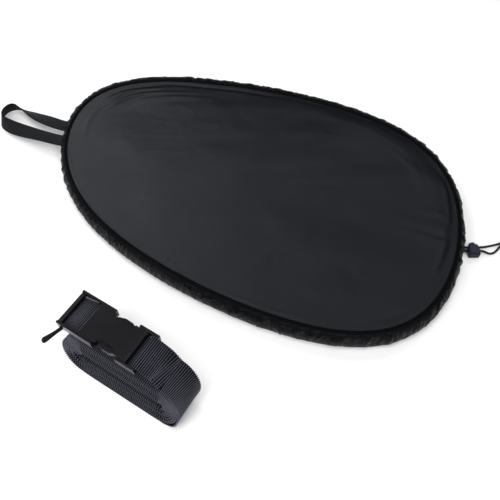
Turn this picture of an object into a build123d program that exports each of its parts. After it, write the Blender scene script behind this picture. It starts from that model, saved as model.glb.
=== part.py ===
from build123d import *

import math
import os

# A kayak cockpit cover: a taut egg-shaped panel, a gathered side band whose lower edge is turned in as
# a tunnel for a shock cord, a cord lock on the two cord ends and a webbing grab loop at the other end.
# Beside it lies its tie-down strap, wound flat, with a side-release buckle on top.
# Millimetres. +Z is up and the hem rests on z = 0. The origin is the middle of the cover's outline,
# +X runs along the cover towards the cord lock and -X towards the grab loop.

# --- Cover: outline of the rim ---
HALF_LENGTH = 374.0
HALF_WIDTH = 242.0
LEAN = 46.0  # how far the soft outline leans off square
EGG = 19.0  # how much wider the cord-lock end is than the loop end
SWING = 10.5  # how far the widest places swing round against each other
MIDDLE_X = 3.5  # keeps the origin in the middle of the outline
CORNER_X = 12.5
CORNER_Y = 7.0
RIM_POINTS = 48

# --- Cover: heights and thicknesses ---
PANEL_Z = 33.4
PANEL_THICKNESS = 1.6
PANEL_EDGE = -6.0  # all edge places are measured outwards from the rim outline
BAND_LEVELS = ((3.0, 2.2), (16.0, 4.5), (33.2, -4.0))  # (height, place) of the band's outer face
BAND_THICKNESS = 1.4
CASING_OUT, CASING_IN, CASING_TOP = 0.6, -11.0, 11.5
TUNNEL_IN, TUNNEL_LOW, TUNNEL_HIGH = -9.8, 2.4, 9.4
BINDING_OUT, BINDING_IN, BINDING_THICKNESS = -3.4, -12.0, 1.3

# --- Shock cord and its lock ---
CORD = 3.6  # cord diameter
CORD_HOLE = 2.2  # radius of every hole that lets the cord through
CORD_RING_PLACE, CORD_RING_Z = -4.6, 5.7
LOCK_CENTRE = (386.4, 9.4, 7.0)
LOCK_TURN = 20.0  # degrees from +X to the way the cords run through the lock
CORD_GAP = 6.0  # between the two cords' centres in the lock
TAB_FACE = -17.0  # where the cords leave the tab, along the lock's own x
EXIT_BEND = -27.0  # where they turn into the tunnel
LOCK_LENGTH, LOCK_THICKNESS = 19.0, 13.4
BARREL_LOW, BARREL_HIGH = -14.0, 6.5
BORE_RADIUS, BORE_END = 5.2, -12.4
PLUNGER_RADIUS, PLUNGER_LOW, PLUNGER_HIGH = 5.1, -7.0, 10.5
PLUNGER_TRAVEL = 3.0
SPRING_RADIUS, SPRING_WIRE, SPRING_PITCH = 3.4, 0.8, 1.7
KNOT_LOW, KNOT_HIGH, KNOT_RADIUS = (53.0, 5.4, -1.8), (54.6, 18.4, -1.8), 5.0
KNOT_ENDS = (((54, 14.4, -1.8), (68, 18.6, -4.2)), ((54, 9.6, -1.8), (69, 7.2, -4.4)))

# Routes of the two free cord tails in the lock's own frame, from the tab to the knot.
TAIL_UPPER = (
    (-17.0, 3.0, 0.0),
    (-3.0, 3.0, 0.0),
    (17.0, 3.3, -0.1),
    (30.0, 8.2, -3.9),
    (42.0, 11.6, -4.9),
    (50.5, 13.2, -2.6),
)
TAIL_LOWER = (
    (-17.0, -3.0, 0.0),
    (-3.0, -3.0, 0.0),
    (16.0, -3.3, -0.1),
    (25.5, -7.4, -3.6),
    (35.0, -5.0, -4.9),
    (43.0, 2.5, -4.9),
    (49.5, 9.5, -2.6),
)

# --- Grab loop ---
WEBBING_WIDTH, WEBBING_THICKNESS = 25.0, 1.8
LOOP_HINGE = (-363.0, -5.0, 25.0)
LOOP_AXIS = (-0.299, 0.954, 0.0)
LOOP_ROOT_GAP = 1.4  # from the fold line to the loop, and to the sewn ends
# Centre of the webbing, then the way its outer edge points, from one root round to the other.
LOOP_STATIONS = (
    ((-369.7, 11.85, 25.0), (-0.299, 0.954, 0.0)),
    ((-405.0, 17.0, 20.0), (-0.1, 1.0, -0.05)),
    ((-440.0, 24.0, 15.0), (0.0, 0.93, -0.36)),
    ((-468.0, 31.0, 13.0), (-0.1, 0.66, -0.75)),
    ((-490.0, 34.0, 13.0), (-0.2, 0.3, -0.93)),
    ((-503.0, 27.0, 13.0), (-0.3, 0.1, -0.95)),
    ((-508.0, 14.0, 13.0), (-0.3, 0.0, -0.95)),
    ((-504.0, 1.0, 13.0), (-0.25, -0.15, -0.95)),
    ((-492.0, -9.0, 13.0), (-0.15, -0.45, -0.88)),
    ((-470.0, -15.0, 13.5), (0.0, -0.8, -0.6)),
    ((-440.0, -18.0, 15.5), (0.0, -0.95, -0.3)),
    ((-405.0, -20.5, 20.0), (0.1, -1.0, -0.05)),
    ((-358.9, -22.7, 25.0), (0.299, -0.954, 0.0)),
)
ANCHOR_LENGTH, ANCHOR_PLACE = 12.0, 4.8

# --- Strap, in its own frame: x along the roll, y across it ---
STRAP_PLACE = (-44.5, -383.4, 0.0)
STRAP_TURN = -12.0
STRAP_WIDTH, STRAP_THICKNESS = 50.0, 2.2
ROLL_LENGTH, ROLL_HEIGHT = 206.0, 70.0
ROLL_SKEW = 0.3  # how far each layer has slid sideways for each millimetre of height
BUCKLE_BASE = 73.0
BUCKLE_MIDDLE = 24.0  # the buckle's centre line across the strap

# --- Buckle, in its own frame: z = 0 at its underside ---
BUCKLE_HALF = 29.6
BUCKLE_HEIGHT = 16.0
WALL = 3.8
FEMALE_END, FEMALE_WALL_END, FEMALE_MOUTH = -104.0, -43.0, 8.0
PLATE_HALF, PLATE_THICKNESS = 24.8, 2.4
RAIL_HALF = 25.4  # between the male half's rails, half of the clear width
WINDOW_END = -4.0  # the side windows run from the walls' end to here
MALE_START, MALE_END = 8.6, 30.0
RAIL_START = -3.0
EDGE_ROUND = 0.8


def rim_place(turn, out):
    """Point on the rim outline at an angle in radians, moved outwards by out."""
    x = MIDDLE_X + HALF_LENGTH * math.cos(turn) - LEAN * math.sin(turn)
    x += SWING * math.sin(2 * turn) - CORNER_X * math.cos(3 * turn)
    y = HALF_WIDTH * math.sin(turn) + EGG * math.sin(2 * turn) + CORNER_Y * math.sin(3 * turn)
    dx = -HALF_LENGTH * math.sin(turn) - LEAN * math.cos(turn)
    dx += 2 * SWING * math.cos(2 * turn) + 3 * CORNER_X * math.sin(3 * turn)
    dy = HALF_WIDTH * math.cos(turn) + 2 * EGG * math.cos(2 * turn) + 3 * CORNER_Y * math.cos(3 * turn)
    size = math.hypot(dx, dy)
    return x + out * dy / size, y - out * dx / size


def rim_face(out, z):
    """Flat face inside the rim outline moved outwards by out, at height z."""
    turns = [2 * math.pi * i / RIM_POINTS for i in range(RIM_POINTS)]
    return make_face(Spline(*[(*rim_place(turn, out), z) for turn in turns], periodic=True))


def rim_slab(out, low, high):
    """Everything inside the rim outline between two heights."""
    return extrude(rim_face(out, low), high - low, dir=(0, 0, 1))


def rim_ring(out, inner, low, high):
    """Ring that follows the rim between two places and two heights."""
    return rim_slab(out, low, high) - rim_slab(inner, low - 1, high + 1)


def rod(start, end, radius):
    """Round rod from one point to another."""
    direction = Vector(*end) - Vector(*start)
    return extrude(Plane(origin=start, z_dir=direction) * Circle(radius), direction.length)


def block(x, y, z, round_by=0.0):
    """Box given by its low and high along each axis, with its edges rounded."""
    size = [high - low for low, high in (x, y, z)]
    middle = [(high + low) / 2 for low, high in (x, y, z)]
    box = Pos(*middle) * Box(*size)
    return fillet(box.edges(), round_by) if round_by else box


def tube(route, name):
    """Cord along a route: straight runs joined by arcs as large as the runs allow."""
    points = [Vector(*point) for point in route]
    runs = [b - a for a, b in zip(points, points[1:])]
    radii = []
    for before, after in zip(runs, runs[1:]):
        half_turn = math.radians(before.get_angle(after)) / 2
        radii.append(0.45 * min(before.length, after.length) / math.tan(half_turn))
    path = FilletPolyline(*points, radius=radii)
    solid = sweep(Plane(origin=points[0], z_dir=runs[0]) * Circle(CORD / 2), path=path)
    expected = path.length * math.pi * CORD**2 / 4
    print(f"{name}: {path.length:.1f} mm long, volume {solid.volume / expected:.4f} of section x length")
    print("  radii", [round(radius, 1) for radius in radii])
    return solid


# --- Cover ---


def in_lock(point):
    """Point of the lock's own frame in the cover's frame."""
    place = LOCK * Pos(*point)
    return tuple(place.position)


LOCK = Location(LOCK_CENTRE, (0, 0, LOCK_TURN))
CORD_SIDES = (1, -1)


def cord_holes(start, end, radius):
    """The two cords' straight passages between two places along the lock's own x."""
    half = CORD_GAP / 2
    return [
        rod(in_lock((start, side * half, 0)), in_lock((end, side * half, 0)), radius) for side in CORD_SIDES
    ]


def top_panel():
    """The covering panel, held taut at the rim."""
    return rim_slab(PANEL_EDGE, PANEL_Z, PANEL_Z + PANEL_THICKNESS)


def hem_band():
    """Side band that swells outwards below the rim, with the two cord holes."""
    outer = loft([rim_face(out, z) for z, out in BAND_LEVELS], ruled=True)
    inner = loft([rim_face(out - BAND_THICKNESS, z) for z, out in BAND_LEVELS], ruled=True)
    return outer - inner - cord_holes(-34, -10, CORD_HOLE)


def hem_casing():
    """Lower edge turned in as a tunnel, which the band closes on its outer side."""
    shell = rim_ring(CASING_OUT, CASING_IN, 0, CASING_TOP)
    return shell - rim_ring(CASING_OUT + 1, TUNNEL_IN, TUNNEL_LOW, TUNNEL_HIGH)


def seam_binding():
    """Tape sewn over the seam between the panel and the band."""
    low = PANEL_Z + PANEL_THICKNESS + 0.05
    return rim_ring(BINDING_OUT, BINDING_IN, low, low + BINDING_THICKNESS)


def shock_cord():
    """The elastic cord in the tunnel, all the way round and out through both holes."""
    half = CORD_GAP / 2
    last = RIM_POINTS
    ring = []
    for i in range(1, last):
        turn = 2 * math.pi * i / last
        ring.append((*rim_place(turn, CORD_RING_PLACE), CORD_RING_Z))
    upper = [in_lock((TAB_FACE, half, 0)), in_lock((EXIT_BEND, half, 0))]
    upper.append((*rim_place(math.radians(2.6), -6.8), 6.4))
    lower = [(*rim_place(math.radians(-2.4), -6.3), 6.4)]
    lower += [in_lock((EXIT_BEND, -half, 0)), in_lock((TAB_FACE, -half, 0))]
    return tube(upper + ring + lower, "shock_cord")


def cord_exit_tab():
    """Sewn reinforcement on the band, which both cord ends come out of."""
    local = block((-26, TAB_FACE), (-10, 10), (-6.4, 7.0))
    outline = RectangleRounded(20, 13.4, 5)
    shaped = LOCK * (local & extrude(Pos(-30, 0, 0.3) * Rot(0, 90, 0) * Rot(0, 0, 90) * outline, 20))
    return shaped - rim_slab(ANCHOR_PLACE, -5, 40) - cord_holes(-40, -10, CORD / 2 + 0.05)


def cord_knot():
    """Overhand knot that ties both tails together, with its two short ends."""
    body = rod(KNOT_LOW, KNOT_HIGH, KNOT_RADIUS)
    body = fillet(body.edges(), 3.0)
    for start, end in KNOT_ENDS:
        body += rod(start, end, CORD / 2)
    return LOCK * body


# --- Cord lock, in its own frame: cords along x, plunger along y ---


def lock_passages(length, clearance):
    """The two cord passages through the lock."""
    return [
        rod((-length, side * CORD_GAP / 2, 0), (length, side * CORD_GAP / 2, 0), CORD / 2 + clearance)
        for side in CORD_SIDES
    ]


def cord_lock_barrel():
    """Rounded barrel with a blind bore for the plunger and two cord passages across it."""
    outline = make_face(
        Polyline((-7.2, BARREL_HIGH), (-LOCK_LENGTH / 2, -3), (-8.8, BARREL_LOW), (8.8, BARREL_LOW),
                 (LOCK_LENGTH / 2, -3), (7.2, BARREL_HIGH), close=True)
    )
    outline = fillet(outline.vertices(), 2.2)
    body = extrude(outline, LOCK_THICKNESS / 2, both=True)
    body = fillet(body.edges().filter_by(Plane.XY), 2.6)
    body -= rod((0, BORE_END, 0), (0, BARREL_HIGH + 1, 0), BORE_RADIUS)
    return LOCK * (body - lock_passages(15, 0.35))


def cord_lock_plunger():
    """Press button whose long slot clears both cords over its whole travel."""
    body = rod((0, PLUNGER_LOW, 0), (0, PLUNGER_HIGH, 0), PLUNGER_RADIUS)
    body = fillet(body.edges().sort_by(Axis.Y)[-1], 1.6)
    slot_half = CORD_GAP / 2 + CORD / 2 + 0.25
    body -= block((-6, 6), (-slot_half, slot_half + PLUNGER_TRAVEL), (-CORD / 2 - 0.25, CORD / 2 + 0.25))
    return LOCK * body


def cord_lock_spring():
    """Coil spring between the bore's end and the plunger."""
    low = BORE_END + SPRING_WIRE / 2 + 0.05
    height = PLUNGER_LOW - SPRING_WIRE / 2 - 0.05 - low
    coil = Pos(0, low, 0) * Rot(-90, 0, 0) * Helix(SPRING_PITCH, height, SPRING_RADIUS)
    section = Plane(origin=coil @ 0, z_dir=coil % 0) * Circle(SPRING_WIRE / 2)
    return LOCK * sweep(section, path=coil, is_frenet=True)


# --- Grab loop ---


def webbing_section(centre, edge, along):
    """The webbing's cross-section at one station of the loop."""
    across = Vector(*edge).normalized()
    plane = Plane(origin=centre, x_dir=across, z_dir=along.cross(across).cross(across) * -1)
    return plane * Rectangle(WEBBING_WIDTH, WEBBING_THICKNESS)


def grab_loop():
    """Loop of webbing whose far end stands on edge."""
    centres = [Vector(*centre) for centre, edge in LOOP_STATIONS]
    sections = []
    for i, (centre, edge) in enumerate(LOOP_STATIONS):
        along = centres[min(i + 1, len(centres) - 1)] - centres[max(i - 1, 0)]
        sections.append(webbing_section(centre, edge, along))
    return loft(sections, ruled=True)


def loop_anchor():
    """The loop's two ends, sewn to the band just under the rim."""
    ends = []
    for centre, edge in (LOOP_STATIONS[0], LOOP_STATIONS[-1]):
        angle = math.degrees(math.atan2(LOOP_AXIS[0], LOOP_AXIS[1])) * -1
        inner = Box(ANCHOR_LENGTH, WEBBING_WIDTH, WEBBING_THICKNESS)
        shift = ANCHOR_LENGTH / 2 + 2 * LOOP_ROOT_GAP
        ends.append(Location(centre, (0, 0, angle)) * (Pos(shift, 0, 0) * inner))
    cutter = rim_slab(ANCHOR_PLACE - 2.2, 0, 50)
    return Compound([end - cutter for end in ends])


# --- Strap ---

STRAP = Location(STRAP_PLACE, (0, 0, STRAP_TURN))
BUCKLE = STRAP * Pos(0, BUCKLE_MIDDLE, BUCKLE_BASE)


def ribbon(points):
    """Webbing of the strap's width and thickness along a line in the x-z plane, centred on y."""
    flat = trace(Polyline(*points), STRAP_THICKNESS)
    return Pos(0, STRAP_WIDTH / 2, 0) * extrude(Plane.XZ * flat, STRAP_WIDTH)


def strap_roll():
    """The wound webbing as one body: a flat racetrack whose layers have slid sideways."""
    outline = Pos(0, ROLL_HEIGHT / 2) * SlotOverall(ROLL_LENGTH, ROLL_HEIGHT)
    slide = ROLL_SKEW * ROLL_HEIGHT
    half = STRAP_WIDTH / 2
    racetrack = Pos(0, half + slide + 1, 0) * extrude(Plane.XZ * outline, STRAP_WIDTH + slide + 2)
    side = Polyline((-half, 0), (half, 0), (half + slide, ROLL_HEIGHT), (slide - half, ROLL_HEIGHT), close=True)
    lean = extrude(Plane.YZ * make_face(side), ROLL_LENGTH, both=True)
    return STRAP * (racetrack & lean)


def strap_lead():
    """Webbing over the male half's bar and down on to the roll."""
    points = ((20.0, 2.6), (21.4, 12.2), (31.0, 13.0), (46.0, 7.4), (64.0, -0.6))
    return BUCKLE * ribbon(points)


def strap_end_web():
    """Webbing that comes in under the female half's end bar and over its middle bar."""
    return BUCKLE * ribbon(((-103.0, 2.0), (-88.0, 6.4), (-77.0, 9.0), (-69.6, 7.6), (-69.5, 2.0)))


def strap_tail():
    """Folded and sewn end of the strap, which sticks out beside the roll."""
    outline = make_face(
        Polyline((-104, 18), (-94, 18), (-96, 2), (-104, -20), (-105, -29), (-110, -34), (-116, -31),
                 (-116, -24), (-111, -12), (-104, 2), close=True)
    )
    outline = fillet(outline.vertices(), 1.5)
    return STRAP * extrude(Pos(0, 0, 67.8) * outline, 4.6)


# --- Buckle ---


def buckle_female():
    """Socket half: webbing frame, two cover plates, open side windows and mouth posts."""
    inner = BUCKLE_HALF - WALL
    plate_x = (-68.0, FEMALE_MOUTH)
    body = block((-68, -63), (-inner - 0.5, inner + 0.5), (0.6, 15))
    for side in (1, -1):
        y = sorted((side * inner, side * BUCKLE_HALF))
        body += block((FEMALE_END, FEMALE_WALL_END), y, (0, BUCKLE_HEIGHT), EDGE_ROUND)
        y = sorted((side * (inner - 2), side * (inner + 1)))
        body += block((-67, FEMALE_WALL_END), y, (1, 15))
        y = sorted((side * 20.4, side * PLATE_HALF))
        body += block((WINDOW_END, FEMALE_MOUTH), y, (1, 14))
    body += block((FEMALE_END, -98), (-inner - 1, inner + 1), (6.4, 14), 1.2)
    body += block((-77, -72), (-inner - 1, inner + 1), (2.4, 6.8), 1.2)
    body += block((-67, -45), (-24, 24), (2, 3.5)) + block((-47.5, -45), (-24, 24), (2, 14))
    for low in (0, 15.6 - PLATE_THICKNESS):
        body += block(plate_x, (-PLATE_HALF, PLATE_HALF), (low, low + PLATE_THICKNESS), EDGE_ROUND)
    for side in (1, -1):
        scoop = Pos(-23, side * 33) * RectangleRounded(31, 30, 5)
        body -= Pos(0, 0, 12) * extrude(scoop, 6) & block((-42.5, WINDOW_END), (-30, 30), (12, 18))
    return BUCKLE * body


def buckle_male():
    """Plug half: webbing frame with side rails, and the centre guide tongue."""
    body = block((MALE_START, 13), (-26, 26), (1, 15), EDGE_ROUND)
    for side in (1, -1):
        y = sorted((side * RAIL_HALF, side * BUCKLE_HALF))
        body += block((RAIL_START, MALE_END), y, (1, 15.2), EDGE_ROUND)
    body += block((24, MALE_END), (-27, 27), (4, 10), 1.4)
    body += block((-36, MALE_START + 1), (-3.5, 3.5), (4.5, 11), 1.0)
    return BUCKLE * body


def prong(side):
    """Springy arm with its barbed head in the side window. side is -1 near, 1 far."""
    outline = make_face(
        Polyline((7.9, 14.4), (7.9, 19.2), (-6, 19.2), (-6, 22.6), (-14, 26), (-26, 26.4), (-36, 23.4),
                 (-41, 18.6), (-41, 15.4), (-32, 14.4), close=True)
    )
    outline = fillet(outline.vertices().sort_by(Axis.X)[0:6], 1.4)
    arm = extrude(Pos(0, 0, 3.1) * outline, 9.4)
    arm = fillet(arm.edges().filter_by(GeomType.LINE).filter_by(Plane.XY).sort_by(Axis.Y)[-2:], 0.8)
    return BUCKLE * (arm if side > 0 else mirror(arm, about=Plane.XZ))


NODES = {
    "top_panel": top_panel,
    "hem_band": hem_band,
    "hem_casing": hem_casing,
    "seam_binding": seam_binding,
    "shock_cord": shock_cord,
    "cord_exit_tab": cord_exit_tab,
    "cord_tail_upper": lambda: tube([in_lock(p) for p in TAIL_UPPER], "cord_tail_upper"),
    "cord_tail_lower": lambda: tube([in_lock(p) for p in TAIL_LOWER], "cord_tail_lower"),
    "cord_knot": cord_knot,
    "cord_lock_barrel": cord_lock_barrel,
    "cord_lock_plunger": cord_lock_plunger,
    "cord_lock_spring": cord_lock_spring,
    "grab_loop": grab_loop,
    "loop_anchor": loop_anchor,
    "strap_roll": strap_roll,
    "strap_lead": strap_lead,
    "strap_end_web": strap_end_web,
    "strap_tail": strap_tail,
    "buckle_female": buckle_female,
    "buckle_male": buckle_male,
    "prong_near": lambda: prong(-1),
    "prong_far": lambda: prong(1),
}

os.makedirs("parts", exist_ok=True)
for name, make in NODES.items():
    export_step(make(), f"parts/{name}.step")
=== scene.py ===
import logging
import math
from dataclasses import dataclass
from enum import Enum
from typing import Callable, NamedTuple, Optional, Sequence

import bmesh
import bpy
from mathutils import Matrix, Vector, noise


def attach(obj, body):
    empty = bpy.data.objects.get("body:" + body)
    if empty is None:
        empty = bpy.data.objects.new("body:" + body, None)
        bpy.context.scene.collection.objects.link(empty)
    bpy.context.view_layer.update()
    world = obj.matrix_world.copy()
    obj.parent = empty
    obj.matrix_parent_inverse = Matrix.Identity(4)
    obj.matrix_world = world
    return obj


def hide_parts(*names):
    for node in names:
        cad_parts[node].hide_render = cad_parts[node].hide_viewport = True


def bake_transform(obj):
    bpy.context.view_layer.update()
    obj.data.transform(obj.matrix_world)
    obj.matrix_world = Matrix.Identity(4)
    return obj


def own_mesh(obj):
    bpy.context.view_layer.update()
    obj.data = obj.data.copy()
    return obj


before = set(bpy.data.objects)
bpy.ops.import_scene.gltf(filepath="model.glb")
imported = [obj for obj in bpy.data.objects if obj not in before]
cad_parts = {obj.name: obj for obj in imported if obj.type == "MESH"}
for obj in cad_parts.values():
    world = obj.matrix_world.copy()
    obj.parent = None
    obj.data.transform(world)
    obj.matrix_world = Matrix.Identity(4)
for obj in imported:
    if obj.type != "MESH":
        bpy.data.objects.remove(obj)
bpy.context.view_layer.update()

MM = 0.001
LOG = logging.getLogger("cockpit_cover")

Point = tuple[float, float, float]


# --- Meshes: grids swept along a path ---


@dataclass
class Skin:
    """A grid of points that becomes a closed or open quad mesh with its own UV map in metres.

    Rows run along the piece and columns run round or across it.
    """

    rows: list[list[Vector]]
    along: list[float]
    across: list[float]
    loop_rows: bool = False
    loop_cols: bool = True
    caps: bool = False

    def build(self, name: str) -> bpy.types.Object:
        """Make the mesh object.

        Args:
            name: name of the new object.

        Returns:
            The object, with outward normals when the skin is closed.
        """
        height, width = len(self.rows), len(self.rows[0])
        points = [point for row in self.rows for point in row]
        faces: list[list[int]] = []
        marks: list[list[tuple[float, float]]] = []
        for i in range(height if self.loop_rows else height - 1):
            for j in range(width if self.loop_cols else width - 1):
                k, m = (i + 1) % height, (j + 1) % width
                faces.append([i * width + j, i * width + m, k * width + m, k * width + j])
                u0, u1 = self.across[j], self.across[j + 1]
                v0, v1 = self.along[i], self.along[i + 1]
                marks.append([(u0, v0), (u1, v0), (u1, v1), (u0, v1)])
        if self.caps:
            for i in (0, height - 1):
                faces.append([i * width + j for j in range(width)])
                marks.append([(self.across[j], self.along[i]) for j in range(width)])
        return mesh_object(name, points, faces, marks)


def mesh_object(
    name: str,
    points: Sequence[Vector],
    faces: Sequence[Sequence[int]],
    marks: Optional[Sequence[Sequence[tuple[float, float]]]] = None,
    outward: bool = True,
) -> bpy.types.Object:
    """Make a smooth-shaded object at the origin.

    Args:
        name: name of the new object.
        points: its vertices in metres.
        faces: vertex numbers of each face.
        marks: UV of each face's corners.
        outward: whether to turn the faces of a closed mesh outwards.

    Returns:
        The linked object.
    """
    mesh = bpy.data.meshes.new(name)
    mesh.from_pydata([tuple(point) for point in points], [], [list(face) for face in faces])
    if marks is not None:
        layer = mesh.uv_layers.new(name="UVMap")
        layer.data.foreach_set("uv", [value for face in marks for corner in face for value in corner])
    if outward:
        work = bmesh.new()
        work.from_mesh(mesh)
        bmesh.ops.recalc_face_normals(work, faces=work.faces)
        work.to_mesh(mesh)
        work.free()
    mesh.shade_smooth()
    made = bpy.data.objects.new(name, mesh)
    bpy.context.scene.collection.objects.link(made)
    return made


def plain_copy(source: bpy.types.Object, name: str) -> bpy.types.Object:
    """Turn an object with modifiers, or a curve, into a plain mesh object and remove the source.

    Args:
        source: the object to evaluate.
        name: name of the plain one.

    Returns:
        The plain object, at the origin.
    """
    bpy.context.view_layer.update()
    graph = bpy.context.evaluated_depsgraph_get()
    mesh = bpy.data.meshes.new_from_object(source.evaluated_get(graph), depsgraph=graph)
    bpy.data.objects.remove(source)
    mesh.name = name
    made = bpy.data.objects.new(name, mesh)
    bpy.context.scene.collection.objects.link(made)
    return made


def between(a: object, b: object, c: object, d: object, t: float) -> object:
    """Catmull-Rom value between the second and third of four numbers or vectors.

    Args:
        a: the one before.
        b: where t is 0.
        c: where t is 1.
        d: the one after.
        t: from 0 to 1.

    Returns:
        A number or a vector, as the four are.
    """
    bend, twist = 2 * a - 5 * b + 4 * c - d, 3 * b - a - 3 * c + d
    return 0.5 * (2 * b + (c - a) * t + bend * t * t + twist * t**3)


def smooth_line(points: Sequence[Vector], steps: int) -> list[Vector]:
    """Catmull-Rom line through points.

    Args:
        points: the points that it passes through.
        steps: divisions of each run.

    Returns:
        The line's points, ends included.
    """
    line: list[Vector] = []
    last = len(points) - 1
    for i in range(last):
        a, b, c, d = points[max(i - 1, 0)], points[i], points[i + 1], points[min(i + 2, last)]
        for k in range(steps):
            t = k / steps
            line.append(between(a, b, c, d, t))
    line.append(points[last].copy())
    return line


def lengths(line: Sequence[Vector]) -> list[float]:
    """Distance along a line at each of its points.

    Args:
        line: its points.

    Returns:
        As many distances, from 0.
    """
    total = [0.0]
    for a, b in zip(line, line[1:]):
        total.append(total[-1] + (b - a).length)
    return total


def tangent(line: Sequence[Vector], i: int) -> Vector:
    """Unit direction of a line at one of its points."""
    return (line[min(i + 1, len(line) - 1)] - line[max(i - 1, 0)]).normalized()


def flat_section(width: float, thickness: float, rounding: float = 0.45) -> list[tuple[float, float]]:
    """Cross-section of webbing with soft selvedges, as (across, up) pairs.

    Args:
        width: of the webbing.
        thickness: of the webbing.
        rounding: share of the thickness that the edges are rounded by.

    Returns:
        Twelve points in order round the section.
    """
    w, t = width / 2, thickness / 2
    r = thickness * rounding
    top = [(-w, 0.0), (-w + r * 0.3, t * 0.7), (-w + r, t), (0.0, t), (w - r, t), (w - r * 0.3, t * 0.7)]
    return top + [(-x, -z) for x, z in top]


def ribbon_skin(
    line: Sequence[Vector], across: Sequence[Vector], section: Sequence[tuple[float, float]], name: str
) -> bpy.types.Object:
    """Sweep a webbing section along a line.

    Args:
        line: centre points.
        across: the way the webbing's width points at each of them.
        section: (across, up) pairs.
        name: of the new object.

    Returns:
        A closed ribbon with UV: u across and v along, in metres.
    """
    rows = []
    for i, centre in enumerate(line):
        side = across[i].normalized()
        up = tangent(line, i).cross(side).normalized()
        rows.append([centre + side * x + up * z for x, z in section])
    edge = [x for x, _ in section] + [section[0][0]]
    return Skin(rows, lengths(line), edge, caps=True).build(name)


def tube_skin(
    line: Sequence[Vector], radius: Callable[[float, float], float], sides: int, name: str
) -> bpy.types.Object:
    """Sweep a round section, whose radius may vary, along a line.

    Args:
        line: centre points.
        radius: gives the radius at (distance along, angle round).
        sides: points round the section.
        name: of the new object.

    Returns:
        A closed tube with UV: u round and v along, in metres.
    """
    along = lengths(line)
    guide = Vector((0.0, 0.0, 1.0))
    rows = []
    for i, centre in enumerate(line):
        forward = tangent(line, i)
        side = (guide - forward * guide.dot(forward)).normalized()
        guide = side
        other = forward.cross(side)
        row = []
        for k in range(sides):
            turn = 2 * math.pi * k / sides
            row.append(centre + (side * math.cos(turn) + other * math.sin(turn)) * radius(along[i], turn))
        rows.append(row)
    rim = radius(0.0, 0.0)
    return Skin(rows, along, [2 * math.pi * rim * k / sides for k in range(sides + 1)], caps=True).build(name)


def route_line(points: Sequence[Vector], steps: int) -> list[Vector]:
    """Points read from the NURBS spline that a cord's route points control.

    Args:
        points: the route's points in metres.
        steps: divisions of each span.

    Returns:
        Points along the spline.
    """
    data = bpy.data.curves.new("route", "CURVE")
    data.dimensions = "3D"
    spline = data.splines.new("NURBS")
    spline.points.add(len(points) - 1)
    for target, point in zip(spline.points, points):
        target.co = (*point, 1.0)
    spline.order_u = 3
    spline.use_endpoint_u = True
    spline.resolution_u = steps
    data.resolution_u = steps
    holder = bpy.data.objects.new("route", data)
    bpy.context.scene.collection.objects.link(holder)
    plain = plain_copy(holder, "route_points")
    line = [vertex.co.copy() for vertex in plain.data.vertices]
    bpy.data.objects.remove(plain)
    return line


# --- Geometry Nodes ---


class Tree:
    """A node tree under construction, of geometry or of a material."""

    def __init__(self, nodes: bpy.types.Nodes, links: bpy.types.NodeLinks) -> None:
        """Keep the tree's nodes and links."""
        self.nodes = nodes
        self.links = links

    def add(self, kind: str, settings: Optional[dict] = None, **inputs: object) -> bpy.types.Node:
        """Add a node.

        Args:
            kind: the node's type name.
            settings: its properties.
            **inputs: its sockets by name, with _ for a space; a socket is linked, a value is set.

        Returns:
            The node.
        """
        node = self.nodes.new(kind)
        for key, value in (settings or {}).items():
            setattr(node, key, value)
        for key, value in inputs.items():
            socket = self.find(node, key.replace("_", " "))
            if isinstance(value, bpy.types.NodeSocket):
                self.links.new(value, socket)
            else:
                socket.default_value = value
        return node

    @staticmethod
    def find(node: bpy.types.Node, name: str) -> bpy.types.NodeSocket:
        """The first enabled input with that name."""
        return next(socket for socket in node.inputs if socket.name == name and socket.enabled)

    def math(self, operation: str, first: object, second: object = 0.0) -> bpy.types.NodeSocket:
        """Output of a Math node.

        Args:
            operation: what the node does.
            first: a socket or a number.
            second: a socket or a number.

        Returns:
            The result.
        """
        node = self.nodes.new("ShaderNodeMath")
        node.operation = operation
        for i, value in enumerate((first, second)):
            if isinstance(value, bpy.types.NodeSocket):
                self.links.new(value, node.inputs[i])
            else:
                node.inputs[i].default_value = value
        return node.outputs[0]

    def blend_colours(self, share: bpy.types.NodeSocket, low: Point, high: Point) -> bpy.types.NodeSocket:
        """Colour that goes from one to another.

        Args:
            share: 0 for the first colour and 1 for the second.
            low: the first colour.
            high: the second colour.

        Returns:
            The mixed colour.
        """
        mix = self.add("ShaderNodeMix", {"data_type": "RGBA", "clamp_factor": True}, Factor=share)
        for socket, value in zip([s for s in mix.inputs if s.type == "RGBA"], (low, high)):
            socket.default_value = (*value, 1.0)
        return next(socket for socket in mix.outputs if socket.type == "RGBA")


class Motif(Enum):
    """What a row repeats along its path."""

    STITCH = "stitch"
    RIB = "rib"


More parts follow.
